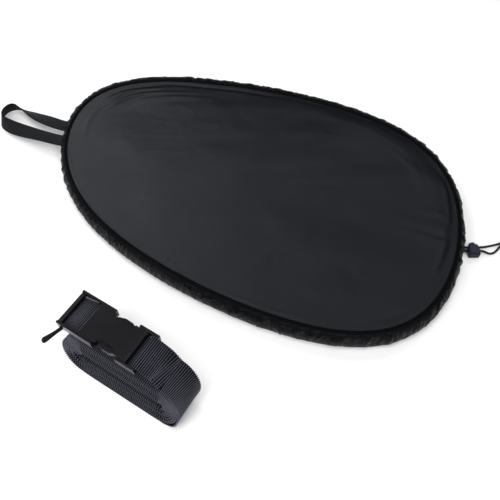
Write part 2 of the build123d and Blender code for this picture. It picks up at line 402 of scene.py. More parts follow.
@dataclass(frozen=True)
class RowMaker:
    """Geometry Nodes group that sets one motif along a curve at an even spacing."""

    motif: Motif
    seed: int = 7

    def group(self) -> bpy.types.NodeTree:
        """Build the node group, or fetch it if it is there.

        Returns:
            The group, with inputs Spacing, Length, Width, Height, Scatter and Finish.
        """
        name = f"{self.motif.value}_row"
        if name in bpy.data.node_groups:
            return bpy.data.node_groups[name]
        group = bpy.data.node_groups.new(name, "GeometryNodeTree")
        face = group.interface
        face.new_socket("Geometry", in_out="INPUT", socket_type="NodeSocketGeometry")
        for label in ("Spacing", "Length", "Width", "Height", "Scatter"):
            face.new_socket(label, in_out="INPUT", socket_type="NodeSocketFloat")
        face.new_socket("Finish", in_out="INPUT", socket_type="NodeSocketMaterial")
        face.new_socket("Geometry", in_out="OUTPUT", socket_type="NodeSocketGeometry")
        tree = Tree(group.nodes, group.links)
        source = tree.add("NodeGroupInput").outputs
        line = tree.add("GeometryNodeMeshToCurve", Mesh=source["Geometry"]).outputs["Curve"]
        spaced = tree.add("GeometryNodeResampleCurve", {"mode": "LENGTH"}, Curve=line, Length=source["Spacing"])
        forward = tree.add("GeometryNodeInputTangent").outputs[0]
        side = tree.add("GeometryNodeInputNamedAttribute", {"data_type": "FLOAT_VECTOR"}, Name="side").outputs[0]
        turned = tree.add(
            "FunctionNodeAxesToRotation",
            {"primary_axis": "X", "secondary_axis": "Y"},
            Primary_Axis=forward,
            Secondary_Axis=side,
        )
        if self.motif is Motif.STITCH:
            unit = tree.add("GeometryNodeMeshUVSphere", Segments=6, Rings=4, Radius=0.5).outputs["Mesh"]
        else:
            unit = self.bar(tree)
        size = tree.add(
            "ShaderNodeCombineXYZ", X=source["Length"], Y=source["Width"], Z=source["Height"]
        ).outputs[0]
        least = tree.math("SUBTRACT", 1.0, source["Scatter"])
        most = tree.math("ADD", 1.0, source["Scatter"])
        vary = tree.add(
            "FunctionNodeRandomValue", {"data_type": "FLOAT"}, Min=least, Max=most, Seed=self.seed
        ).outputs["Value"]
        drawn = tree.add("ShaderNodeVectorMath", {"operation": "SCALE"}, Vector=size, Scale=vary).outputs[0]
        points, turn = self.turned_points(tree, spaced.outputs["Curve"], turned.outputs[0])
        placed = tree.add(
            "GeometryNodeInstanceOnPoints", Points=points, Instance=unit, Rotation=turn, Scale=drawn
        )
        real = tree.add("GeometryNodeRealizeInstances", Geometry=placed.outputs["Instances"]).outputs[0]
        smooth = tree.add("GeometryNodeSetShadeSmooth", Geometry=real).outputs[0]
        dressed = tree.add("GeometryNodeSetMaterial", Geometry=smooth, Material=source["Finish"]).outputs[0]
        tree.add("NodeGroupOutput", Geometry=dressed)
        return group

    @staticmethod
    def bar(tree: Tree) -> bpy.types.NodeSocket:
        """A bar one unit long with a soft six-sided section and closed ends, along Y.

        Args:
            tree: the group's tree.

        Returns:
            The bar's mesh.
        """
        profile = tree.add("GeometryNodeMeshCylinder", Vertices=6, Radius=0.5, Depth=1.0).outputs["Mesh"]
        return tree.add(
            "GeometryNodeTransform", Geometry=profile, Rotation=(math.pi / 2, 0.0, 0.0)
        ).outputs["Geometry"]

    @staticmethod
    def turned_points(
        tree: Tree, curve: bpy.types.NodeSocket, turn: bpy.types.NodeSocket
    ) -> tuple[bpy.types.NodeSocket, bpy.types.NodeSocket]:
        """Turn the curve into points that keep the rotation worked out on it.

        Args:
            tree: the group's tree.
            curve: the resampled curve.
            turn: the rotation, as a field of that curve.

        Returns:
            The points, and the rotation read back on them.
        """
        kept = tree.add(
            "GeometryNodeStoreNamedAttribute",
            {"data_type": "QUATERNION", "domain": "POINT"},
            Geometry=curve,
            Name="turn",
            Value=turn,
        )
        points = tree.add(
            "GeometryNodeCurveToPoints", {"mode": "EVALUATED"}, Curve=kept.outputs["Geometry"]
        ).outputs["Points"]
        read = tree.add("GeometryNodeInputNamedAttribute", {"data_type": "QUATERNION"}, Name="turn").outputs[0]
        return points, read

    def along(
        self,
        name: str,
        line: Sequence[Vector],
        sides: Sequence[Vector],
        finish: bpy.types.Material,
        closed: bool = False,
        **sizes: float,
    ) -> bpy.types.Object:
        """Set the motif along a line and make the result a plain mesh.

        Args:
            name: of the new object.
            line: the path in metres.
            sides: the way each motif's own Y points, at each point of the path.
            finish: its material.
            closed: whether the path is a ring.
            **sizes: the group's inputs by name.

        Returns:
            The plain object.
        """
        mesh = bpy.data.meshes.new(name)
        count = len(line)
        edges = [(i, (i + 1) % count) for i in range(count if closed else count - 1)]
        mesh.from_pydata([tuple(point) for point in line], edges, [])
        layer = mesh.attributes.new("side", "FLOAT_VECTOR", "POINT")
        layer.data.foreach_set("vector", [value for side in sides for value in side])
        holder = bpy.data.objects.new(name + "_path", mesh)
        bpy.context.scene.collection.objects.link(holder)
        group = self.group()
        modifier = holder.modifiers.new("row", "NODES")
        modifier.node_group = group
        values = {**sizes, "Finish": finish}
        for item in group.interface.items_tree:
            if item.in_out == "INPUT" and item.name in values:
                modifier[item.identifier] = values[item.name]
        return plain_copy(holder, name)


# --- Finishes ---


@dataclass(frozen=True)
class Cloth:
    """Woven cloth or webbing: yarns both ways, colour that drifts, sheen and fine relief."""

    name: str
    colour: tuple[float, float, float]
    light: tuple[float, float, float]
    roughness: float = 0.5
    sheen: float = 0.0
    specular: float = 0.5
    yarn: float = 0.0006
    relief: float = 0.25
    crease_size: float = 0.02
    crease: float = 0.0
    edge: float = 0.0
    half_width: float = 0.0125
    shine: tuple[float, float, float, float] = (0.88, 0.92, 1.0, 1.0)

    def material(self) -> bpy.types.Material:
        """Build the finish's material.

        Returns:
            The material, with its yarns on the piece's own UV map.
        """
        made, tree, shader = new_material(self.name)
        place = tree.add("ShaderNodeTexCoord").outputs
        parts = tree.add("ShaderNodeSeparateXYZ", Vector=place["UV"]).outputs
        over = self.yarns(tree, parts["X"])
        under = self.yarns(tree, parts["Y"])
        weave = tree.math("MULTIPLY", over, under)
        drift = tree.add(
            "ShaderNodeTexNoise", Vector=place["Object"], Scale=9.0, Detail=5.0, Roughness=0.6
        ).outputs["Fac"]
        fleck = tree.add(
            "ShaderNodeTexNoise", Vector=place["Object"], Scale=420.0, Detail=2.0
        ).outputs["Fac"]
        tone = tree.math("MULTIPLY", weave, tree.math("ADD", tree.math("MULTIPLY", drift, 0.7), 0.15))
        tone = tree.math("ADD", tone, tree.math("MULTIPLY", tree.math("SUBTRACT", fleck, 0.5), 0.35))
        if self.edge:
            worn = tree.math("DIVIDE", tree.math("ABSOLUTE", parts["X"]), self.half_width)
            worn = tree.math("POWER", worn, 14.0)
            tone = tree.math("SUBTRACT", tone, tree.math("MULTIPLY", worn, self.edge))
        tree.links.new(tree.blend_colours(tone, self.colour, self.light), shader.inputs["Base Color"])
        rough = tree.add("ShaderNodeMapRange", Value=drift)
        rough.inputs["From Min"].default_value, rough.inputs["From Max"].default_value = 0.3, 0.7
        rough.inputs["To Min"].default_value = self.roughness - 0.07
        rough.inputs["To Max"].default_value = self.roughness + 0.09
        tree.links.new(rough.outputs[0], shader.inputs["Roughness"])
        height = tree.math("MULTIPLY", weave, self.relief)
        if self.crease:
            crumple = tree.add(
                "ShaderNodeTexNoise",
                Vector=place["Object"],
                Scale=1.0 / self.crease_size,
                Detail=4.0,
                Roughness=0.55,
                Distortion=0.6,
            ).outputs["Fac"]
            height = tree.math("ADD", height, tree.math("MULTIPLY", crumple, self.crease))
        bump = tree.add("ShaderNodeBump", Height=height, Strength=0.6, Distance=0.001)
        tree.links.new(bump.outputs[0], shader.inputs["Normal"])
        for label, value in (
            ("Sheen Weight", self.sheen),
            ("Sheen Roughness", 0.4),
            ("Specular IOR Level", self.specular),
            ("Specular Tint", self.shine),
        ):
            shader.inputs[label].default_value = value
        return made

    def yarns(self, tree: Tree, distance: bpy.types.NodeSocket) -> bpy.types.NodeSocket:
        """Rounded yarns side by side along one direction, from 0 between them to 1 at their tops."""
        wave = tree.math("SINE", tree.math("MULTIPLY", distance, math.pi / self.yarn))
        return tree.math("ABSOLUTE", wave)


@dataclass(frozen=True)
class Moulded:
    """Moulded plastic with a fine spark-eroded grain, flow mottling and rubbed patches."""

    name: str
    colour: tuple[float, float, float]
    light: tuple[float, float, float]
    roughness: float = 0.38
    grain: float = 1500.0
    metallic: float = 0.0
    specular: float = 0.30

    def material(self) -> bpy.types.Material:
        """Build the finish's material.

        Returns:
            The material, on Object coordinates.
        """
        made, tree, shader = new_material(self.name)
        place = tree.add("ShaderNodeTexCoord").outputs["Object"]
        mottle = tree.add("ShaderNodeTexNoise", Vector=place, Scale=60.0, Detail=6.0, Roughness=0.65).outputs["Fac"]
        grain = tree.add("ShaderNodeTexNoise", Vector=place, Scale=self.grain, Detail=2.0).outputs["Fac"]
        scuff = tree.add(
            "ShaderNodeTexNoise", Vector=place, Scale=210.0, Detail=3.0, Distortion=2.0
        ).outputs["Fac"]
        tree.links.new(tree.blend_colours(mottle, self.colour, self.light), shader.inputs["Base Color"])
        rough = tree.math("ADD", tree.math("MULTIPLY", scuff, 0.16), self.roughness - 0.08)
        tree.links.new(rough, shader.inputs["Roughness"])
        bump = tree.add("ShaderNodeBump", Height=grain, Strength=0.25, Distance=0.0002)
        tree.links.new(bump.outputs[0], shader.inputs["Normal"])
        shader.inputs["Metallic"].default_value = self.metallic
        shader.inputs["Specular IOR Level"].default_value = self.specular
        return made


def new_material(name: str) -> tuple[bpy.types.Material, Tree, bpy.types.Node]:
    """Start a material with its surface shader.

    Args:
        name: of the material.

    Returns:
        The material, its tree and its surface shader.
    """
    made = bpy.data.materials.new(name)
    made.use_nodes = True
    tree = Tree(made.node_tree.nodes, made.node_tree.links)
    return made, tree, made.node_tree.nodes["Principled BSDF"]


class Finish(Enum):
    """Every finish on the cover and the strap."""

    PANEL = Cloth(
        "coated_panel_cloth", colour=(0.0008, 0.0009, 0.0015), light=(0.0098, 0.0110, 0.0155),
        roughness=0.33, specular=0.22, yarn=0.0005, relief=0.10, crease_size=0.03, crease=0.5,
    )
    # Same cloth as the panel, with darker colours: partly the hem's own deeper black, partly painted shade on the
    # upright side band.
    HEM = Cloth(
        "gathered_hem_cloth", colour=(0.0007, 0.0008, 0.0012), light=(0.0042, 0.0046, 0.0064),
        roughness=0.27, specular=0.08, yarn=0.0005, relief=0.12, crease_size=0.007, crease=2.8,
    )
    BINDING = Cloth(
        "binding_tape_cloth", colour=(0.0004, 0.0004, 0.0006), light=(0.0022, 0.0023, 0.0031),
        roughness=0.60, specular=0.04, yarn=0.0007, relief=0.35,
    )
    LOOP = Cloth(
        "grab_loop_webbing", colour=(0.0030, 0.0032, 0.0038), light=(0.0240, 0.0260, 0.0300),
        roughness=0.70, sheen=0.04, specular=0.12, yarn=0.0009, relief=0.6, edge=0.9,
    )
    STRAP = Cloth(
        "strap_webbing_base", colour=(0.0010, 0.0010, 0.0016), light=(0.0050, 0.0052, 0.0076),
        roughness=0.66, specular=0.10, yarn=0.0008, relief=0.5,
    )
    RIB = Cloth(
        "strap_webbing_ribs", colour=(0.065, 0.066, 0.090), light=(0.480, 0.485, 0.600),
        roughness=0.50, sheen=0.08, specular=0.30, yarn=0.0006, relief=0.4,
    )
    THREAD = Cloth(
        "sewing_thread", colour=(0.0030, 0.0030, 0.0036), light=(0.0200, 0.0210, 0.0250),
        roughness=0.50, sheen=0.05, specular=0.25, yarn=0.0003, relief=0.3,
    )
    CORD = Cloth(
        "braided_elastic_cord", colour=(0.0030, 0.0030, 0.0038), light=(0.0260, 0.0270, 0.0330),
        roughness=0.55, sheen=0.05, specular=0.25, yarn=0.0007, relief=0.5,
    )
    BUCKLE = Moulded(
        "buckle_plastic_finish", colour=(0.0034, 0.0029, 0.0040), light=(0.0085, 0.0076, 0.0098), roughness=0.23
    )
    LOCK = Moulded(
        "lock_plastic_finish", colour=(0.0050, 0.0052, 0.0120), light=(0.0150, 0.0155, 0.0340),
        roughness=0.34, specular=0.12,
    )
    SPRING = Moulded(
        "spring_steel_finish", colour=(0.45, 0.45, 0.46), light=(0.62, 0.62, 0.63),
        roughness=0.28, grain=900.0, metallic=1.0, specular=0.5,
    )
    FLOOR = Moulded(
        "studio_floor", colour=(0.88, 0.88, 0.88), light=(0.90, 0.90, 0.90), roughness=0.85, grain=200.0
    )


class Wardrobe:
    """Makes each finish's material once."""

    def __init__(self) -> None:
        """Start with nothing made."""
        self.made: dict[Finish, bpy.types.Material] = {}

    def get(self, finish: Finish) -> bpy.types.Material:
        """The finish's material.

        Args:
            finish: which finish.

        Returns:
            Its material, made at the first call.
        """
        if finish not in self.made:
            self.made[finish] = finish.value.material()
        return self.made[finish]

    def dress(self, piece: bpy.types.Object, finish: Finish, slot: str) -> bpy.types.Object:
        """Give a piece its finish.

        Args:
            piece: the object to dress.
            finish: its finish.
            slot: the record's slot name; not used.

        Returns:
            The same object.
        """
        piece.data.materials.clear()
        piece.data.materials.append(self.get(finish))
        LOG.info("%s: %d faces", piece.name, len(getattr(piece.data, "polygons", [])))
        return piece


# --- The cover ---


def ripple(x: float, y: float, seed: float, detail: int = 3) -> float:
    """Seeded soft noise from about -1 to 1."""
    return noise.fractal(Vector((x, y, seed)), 0.9, 2.1, detail)


def hill(value: float, centre: float, spread: float) -> float:
    """Bell shape of height 1."""
    return math.exp(-(((value - centre) / spread) ** 2))


def gap_from(turn: float, centre: float) -> float:
    """Degrees from a place round the outline, from -180 to 180.

    Args:
        turn: the angle, in radians.
        centre: the place, in degrees.

    Returns:
        The signed difference.
    """
    return (math.degrees(turn) - centre + 180) % 360 - 180


class Swell(NamedTuple):
    """Soft unevenness of the panel: waves to a metre both ways, a seed, octaves and a height in millimetres."""

    along: float
    across: float
    seed: float
    octaves: int
    height: float


class Shoulder(NamedTuple):
    """Raised part of the panel: where it is and how wide, in degrees, how far in it reaches and how high."""

    centre: float
    spread: float
    reach: float
    height: float


class Fold(NamedTuple):
    """Fold along the rim: where it is and how wide, in degrees, then its depth, width and height."""

    centre: float
    spread: float
    depth: float
    width: float
    height: float


@dataclass
class Rim:
    """The cover's outline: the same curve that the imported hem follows, walked by distance."""

    middle: float = 3.5 * MM
    half_length: float = 374 * MM
    half_width: float = 242 * MM
    lean: float = 46 * MM
    egg: float = 19 * MM
    swing: float = 10.5 * MM
    corner_x: float = 12.5 * MM
    corner_y: float = 7 * MM
    samples: int = 2880

    def __post_init__(self) -> None:
        """Measure the outline once."""
        line = [self.at(2 * math.pi * i / self.samples) for i in range(self.samples + 1)]
        self.walked = lengths(line)
        self.length = self.walked[-1]

    def at(self, turn: float, out: float = 0.0, z: float = 0.0) -> Vector:
        """Point at an angle, moved outwards, at a height.

        Args:
            turn: the angle, in radians.
            out: how far outwards, in metres.
            z: the height, in metres.

        Returns:
            The point.
        """
        x = self.middle + self.half_length * math.cos(turn) - self.lean * math.sin(turn)
        x += self.swing * math.sin(2 * turn) - self.corner_x * math.cos(3 * turn)
        y = self.half_width * math.sin(turn) + self.egg * math.sin(2 * turn) + self.corner_y * math.sin(3 * turn)
        way = self.outward(turn)
        return Vector((x + out * way.x, y + out * way.y, z))

    def outward(self, turn: float) -> Vector:
        """Unit normal of the outline, in the plane.

        Args:
            turn: the angle, in radians.

        Returns:
            The outward direction.
        """
        dx = -self.half_length * math.sin(turn) - self.lean * math.cos(turn)
        dx += 2 * self.swing * math.cos(2 * turn) + 3 * self.corner_x * math.sin(3 * turn)
        dy = self.half_width * math.cos(turn) + 2 * self.egg * math.cos(2 * turn)
        dy += 3 * self.corner_y * math.cos(3 * turn)
        return Vector((dy, -dx, 0.0)).normalized()

    def turns(self, count: int) -> list[float]:
        """Angles of evenly spaced points round the outline.

        Args:
            count: how many points.

        Returns:
            Their angles, in radians.
        """
        found, i = [], 0
        for k in range(count):
            goal = self.length * k / count
            while self.walked[i + 1] < goal:
                i += 1
            share = (goal - self.walked[i]) / (self.walked[i + 1] - self.walked[i])
            found.append(2 * math.pi * (i + share) / self.samples)
        return found


@dataclass
class Cover:
    """Cockpit cover: taut panel, gathered hem with its tunnel, binding and stitching."""

    rim: Rim
    wardrobe: Wardrobe
    panel_z: float = 34.2 * MM
    panel_edge: float = -6.6 * MM
    panel_gauge: float = 0.7 * MM
    panel_rings: int = 110
    panel_spokes: int = 420
    panel_reach: float = 250.0
    ring_start: float = 0.012
    ring_crowding: float = 0.82
    belly: float = 2.2
    slant: tuple[float, float] = (0.94, 0.34)
    slanted_swells: tuple[Swell, ...] = (Swell(5.5, 11.0, 3.1, 2, 1.9), Swell(12.0, 20.0, 8.4, 2, 0.7))
    fine_swell: Swell = Swell(34.0, 40.0, 1.7, 3, 0.17)
    crease_height: float = 0.45
    crease_sharpness: float = 5.0
    shoulder_fade: float = 0.62
    shoulder_fall: float = 100.0
    lock_gathers: Fold = Fold(1.5, 8.0, 0.0, 24.0, 3.0)
    rim_pucker: float = 1.1
    rim_pucker_depth: float = 14.0
    hem_gauge: float = 0.8 * MM
    hem_columns: int = 1100
    hem_steps: int = 3
    hem_levels: tuple = (
        (-9.5, 34.4), (-5.2, 34.2), (-1.6, 32.6), (1.4, 28.6), (3.6, 22.6), (4.5, 16.0), (4.0, 10.0),
        (2.6, 5.2), (-0.6, 1.7), (-4.8, 0.9), (-8.6, 2.0), (-10.3, 5.2), (-9.4, 9.0), (-5.0, 11.6), (1.2, 12.6),
    )
    hem_lowest: float = 0.75
    hem_top_levels: float = 2.6
    hem_gather: float = 1.5
    lock_gather: float = 1.0
    lock_gather_spread: float = 7.0
    binding_out: float = -3.6 * MM
    binding_columns: int = 1300
    binding_section: tuple = (
        (-0.1, -2.0), (0.0, -0.5), (0.7, 0.30), (2.1, 0.62), (3.3, 0.52), (4.5, 0.62), (5.9, 0.30),
        (6.6, -0.5), (6.7, -2.0), (5.2, -1.2), (3.3, -1.0), (1.4, -1.2),
    )
    stitch_samples: int = 1500
    binding_rows: tuple = (("binding_stitches_outer", 1.3), ("binding_stitches_inner", 5.1))
    stitch_seat: float = 0.52 * MM
    casing_row: float = 0.42
    far_side: tuple = (100.0, 68.0, 8.0 * MM)
    shoulders: tuple[Shoulder, ...] = (
        Shoulder(46.0, 27.0, 34.0, 5.9), Shoulder(12.0, 18.0, 28.0, 5.0), Shoulder(320.0, 30.0, 60.0, 2.5),
    )
    folds: tuple[Fold, ...] = (
        Fold(142, 13, 20, 3.6, 2.8), Fold(136, 17, 33, 4.2, 2.2), Fold(130, 15, 47, 5.5, 1.5),
        Fold(150, 10, 28, 3.0, 1.8), Fold(112, 24, 14, 4.5, -1.2), Fold(168, 12, 22, 4.0, 1.3),
        Fold(352, 9, 16, 4.0, 2.2), Fold(14, 8, 12, 3.0, 1.8), Fold(222, 40, 5, 2.2, 0.5),
        Fold(30, 11, 42, 5.0, 1.2), Fold(318, 12, 12, 3.5, -0.8), Fold(275, 16, 10, 3.0, 0.6),
    )

    def seam_shift(self, turn: float) -> float:
        """How much further in the seam lies along the far side, where the hem is pulled over."""
        centre, spread, shift = self.far_side
        return shift * math.exp(-((gap_from(turn, centre) / spread) ** 4))

    def panel_height(self, turn: float, share: float, place: Vector) -> float:
        """Height of the panel: a slight belly, soft folds and the gathers near the rim.

        Args:
            turn: angle round the outline.
            share: from 0 in the middle to 1 at the rim.
            place: the point in plan.

        Returns:
            The height in metres.
        """
        loose = 1.0 - share**10
        depth = (1 - share) * self.panel_reach
        z = self.belly * (1 - share**2)
        z += self.unevenness(place) * loose
        z += self.raised(turn, depth) * self.faded(share)
        for fold in self.folds:
            wander = 4.0 * ripple(turn * 3.0, fold.centre * 0.1, 5.5, 2)
            near = math.exp(-((gap_from(turn, fold.centre) / fold.spread) ** 2))
            z += fold.height * near * hill(depth, fold.depth + wander, fold.width)
        gathers = self.lock_gathers
        spray = math.sin(turn * 62 + 1.4 * ripple(turn * 20, 0.2, 61.0, 2)) + 0.6 * math.sin(turn * 103 + 1.0)
        near = math.exp(-((gap_from(turn, gathers.centre) / gathers.spread) ** 2))
        z += gathers.height * near * spray * math.exp(-depth / gathers.width) * loose
        pucker = ripple(turn * 40.0, share * 3.0, 2.2, 2) * math.exp(-depth / self.rim_pucker_depth)
        z += self.rim_pucker * pucker * loose
        return self.panel_z + z * MM

    def unevenness(self, place: Vector) -> float:
        """Slanted soft waves, a fine ripple and a few sharper creases.

        Args:
            place: the point in plan.

        Returns:
            The height in millimetres.
        """
        x, y = place.x, place.y
        main, cross = self.slant
        u, v = x * main + y * cross, y * main - x * cross
        z = 0.0
        for swell in self.slanted_swells:
            z += swell.height * ripple(u * swell.along, v * swell.across, swell.seed, swell.octaves)
        fine = self.fine_swell
        z += fine.height * ripple(x * fine.along, y * fine.across, fine.seed, fine.octaves)
        crease = abs(ripple(u * 7.0 + 0.3 * ripple(x * 20, y * 20, 2.0, 2), v * 16.0, 14.0, 2))
        where = 0.5 + 0.5 * ripple(x * 9, y * 9, 25.0, 2)
        return z + self.crease_height * max(0.0, 1.0 - crease * self.crease_sharpness) * where

    def raised(self, turn: float, depth: float) -> float:
        """Height of the shoulders, in millimetres.

        Args:
            turn: angle round the outline.
            depth: how far in from the rim, in millimetres.

        Returns:
            The sum of the shoulders.
        """
        z = 0.0
        for shoulder in self.shoulders:
            width = shoulder.reach * (1.0 + 0.22 * ripple(turn * 5.0, shoulder.centre, 51.0, 2))
            rise = min(1.0, depth / width)
            rise = rise * rise * (3 - 2 * rise)
            fall = math.exp(-max(0.0, depth - width) / self.shoulder_fall)
            near = math.exp(-((gap_from(turn, shoulder.centre) / shoulder.spread) ** 4))
            z += shoulder.height * near * rise * fall
        return z

    def faded(self, share: float) -> float:
        """Smooth step that lets the shoulders run out to nothing at the panel's middle."""
        t = min(1.0, share / self.shoulder_fade)
        return t**3 * (t * (6 * t - 15) + 10)

    def panel(self) -> bpy.types.Object:
        """The covering panel as one taut sheet.

        Returns:
            The panel, with its thickness.
        """
        turns = self.rim.turns(self.panel_spokes)
        start, last = self.ring_start, self.panel_rings - 1
        shares = [start + (1.0 - start) * (i / last) ** self.ring_crowding for i in range(self.panel_rings)]
        sheet: list[list[Vector]] = []
        for turn in turns:
            outer = self.rim.at(turn, self.panel_edge - self.seam_shift(turn))
            column = []
            for share in shares:
                place = outer * share
                place.z = self.panel_height(turn, share, place)
                column.append(place)
            sheet.append(column)
        points = [point for column in sheet for point in column]
        rings = self.panel_rings
        count = len(turns)
        faces = []
        for i in range(count):
            k = (i + 1) % count
            faces += [[i * rings + j, i * rings + j + 1, k * rings + j + 1, k * rings + j] for j in range(rings - 1)]
        faces.append([i * rings for i in range(count)])
        middle_face = len(faces) - 1
        marks = [[(points[v].x, points[v].y) for v in face] for face in faces]
        made = mesh_object("cover_panel", points, faces, marks, outward=False)
        if made.data.polygons[middle_face].normal.z < 0:
            made.data.flip_normals()
        work = bmesh.new()
        work.from_mesh(made.data)
        work.faces.ensure_lookup_table()
        bmesh.ops.poke(work, faces=[work.faces[middle_face]])
        bmesh.ops.recalc_face_normals(work, faces=work.faces)
        if sum(face.normal.z for face in work.faces) < 0:
            bmesh.ops.reverse_faces(work, faces=work.faces)
        work.to_mesh(made.data)
        work.free()
        thick = made.modifiers.new("gauge", "SOLIDIFY")
        thick.thickness = self.panel_gauge
        thick.offset = -1.0
        plain = plain_copy(made, "cover_panel")
        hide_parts("top_panel")
        return plain

    def hem_point(self, turn: float, step: float) -> Vector:
        """Point on the gathered hem.

        Args:
            turn: angle round the outline.
            step: from 0 at the seam to 1 at the end of the turned-in tunnel.

        Returns:
            The point on the middle of the cloth.
        """
        levels = self.hem_levels
        spot = step * (len(levels) - 1)
        i = min(int(spot), len(levels) - 2)
        t = spot - i
        around = levels[max(i - 1, 0)], levels[i], levels[i + 1], levels[min(i + 2, len(levels) - 1)]
        out, z = (between(*values, t) for values in zip(*around))
        walk = turn * 60
        gather = math.sin(math.pi * min(1.0, step * 1.9)) if step < 0.53 else math.sin(math.pi * (1 - step) * 1.06)
        gather = max(0.0, gather)
        lean = step * 3.2 + 1.2 * ripple(walk * 0.05, step * 2, 9.0, 2)
        fold = ripple(walk * 0.55 + lean, step * 1.3, 4.0, 3)
        fine = ripple(walk * 1.7 - lean * 1.7, step * 6.0, 6.0, 3)
        sharp = 1.0 - abs(ripple(walk * 0.95 + lean * 1.4, step * 2.2, 12.0, 2)) * 2.6
        near_lock = math.exp(-((gap_from(turn, 0.0) / self.lock_gather_spread) ** 2))
        amount = (self.hem_gather + self.lock_gather * near_lock) * gather
        out += amount * (1.6 * fold + 0.75 * fine + 1.1 * max(0.0, sharp) - 0.7)
        z += 1.0 * gather * ripple(walk * 0.7, step * 4.0, 15.0, 2)
        out -= self.seam_shift(turn) / MM * max(0.0, 1.0 - spot / self.hem_top_levels)
        return self.rim.at(turn, out * MM, max(z, self.hem_lowest) * MM)

    def hem(self) -> bpy.types.Object:
        """Side band and casing in one piece of gathered cloth, with its edge turned in as the tunnel.

        Returns:
            The hem, with its thickness.
        """
        turns = self.rim.turns(self.hem_columns)
        count = (len(self.hem_levels) - 1) * self.hem_steps
        rows = [[self.hem_point(turn, k / count) for k in range(count + 1)] for turn in turns]
        across = lengths(rows[0])
        along = [self.rim.length * i / len(turns) for i in range(len(turns) + 1)]
        made = Skin(rows, along, across, loop_rows=True, loop_cols=False).build("hem_open")
        outer = made.data.polygons[count // 2 - 4]
        if outer.normal.dot(self.rim.outward(turns[0])) < 0:
            made.data.flip_normals()
        thick = made.modifiers.new("gauge", "SOLIDIFY")
        thick.thickness = self.hem_gauge
        thick.offset = 0.0
        plain = plain_copy(made, "gathered_hem")
        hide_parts("hem_band", "hem_casing")
        return plain

    def binding(self) -> bpy.types.Object:
        """Tape folded over the seam, with the small puckers that sewing leaves.

        Returns:
            The tape, as a closed ring.
        """
        turns = self.rim.turns(self.binding_columns)
        rows = []
        for turn in turns:
            base = self.binding_seat(turn)
            lump = 1.0 + 0.10 * ripple(turn * 55, 0.0, 21.0, 2)
            row = []
            for across, up in self.binding_section:
                out = self.binding_out - across * MM - self.seam_shift(turn)
                point = self.rim.at(turn, out)
                point.z = base + up * lump * MM
                row.append(point)
            rows.append(row)
        along = [self.rim.length * i / len(turns) for i in range(len(turns) + 1)]
        across_marks = [value * MM for value, _ in self.binding_section] + [0.0]
        made = Skin(rows, along, across_marks, loop_rows=True, loop_cols=True).build("edge_binding")
        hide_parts("seam_binding")
        return made

    def binding_seat(self, turn: float) -> float:
        """Height of the binding's middle."""
        return self.panel_z + (1.15 + 0.35 * ripple(turn * 9, 1.0, 20.0, 2)) * MM

    def stitches(self, pieces: dict[str, bpy.types.Object]) -> None:
        """Sew both edges of the binding and the hem's casing.

        Args:
            pieces: the cover's pieces by name, to which the rows are added.
        """
        turns = self.rim.turns(self.stitch_samples)
        row = RowMaker(Motif.STITCH)
        thread = self.wardrobe.get(Finish.THREAD)
        for name, inset in self.binding_rows:
            line = []
            for turn in turns:
                point = self.rim.at(turn, self.binding_out - inset * MM - self.seam_shift(turn))
                point.z = self.binding_seat(turn) + self.stitch_seat
                line.append(point)
            sides = [self.rim.outward(turn) for turn in turns]
            pieces[name] = row.along(
                name, line, sides, thread, closed=True,
                Spacing=3.6 * MM, Length=2.9 * MM, Width=0.55 * MM, Height=0.5 * MM, Scatter=0.12,
            )
        line, sides = [], []
        for turn in turns:
            point = self.hem_point(turn, self.casing_row)
            line.append(point + self.rim.outward(turn) * 0.45 * MM)
            sides.append(Vector((0, 0, 1)))
        pieces["casing_stitches"] = row.along(
            "casing_stitches", line, sides, thread, closed=True,
            Spacing=4.2 * MM, Length=3.2 * MM, Width=0.6 * MM, Height=0.55 * MM, Scatter=0.12,
        )

    def build(self) -> None:
        """Make, dress and fasten every piece of the cover."""
        panel, hem, binding = self.panel(), self.hem(), self.binding()
        dress = self.wardrobe.dress
        dress(panel, Finish.PANEL, "panel_fabric")
        dress(hem, Finish.HEM, "hem_fabric")
        dress(binding, Finish.BINDING, "binding_tape")
        sewn: dict[str, bpy.types.Object] = {}
        self.stitches(sewn)
        for piece in sewn.values():
            dress(piece, Finish.THREAD, "binding_tape")
        for piece in (panel, hem, binding, *sewn.values()):
            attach(piece, "cover")


# --- The cord lock and its cords ---


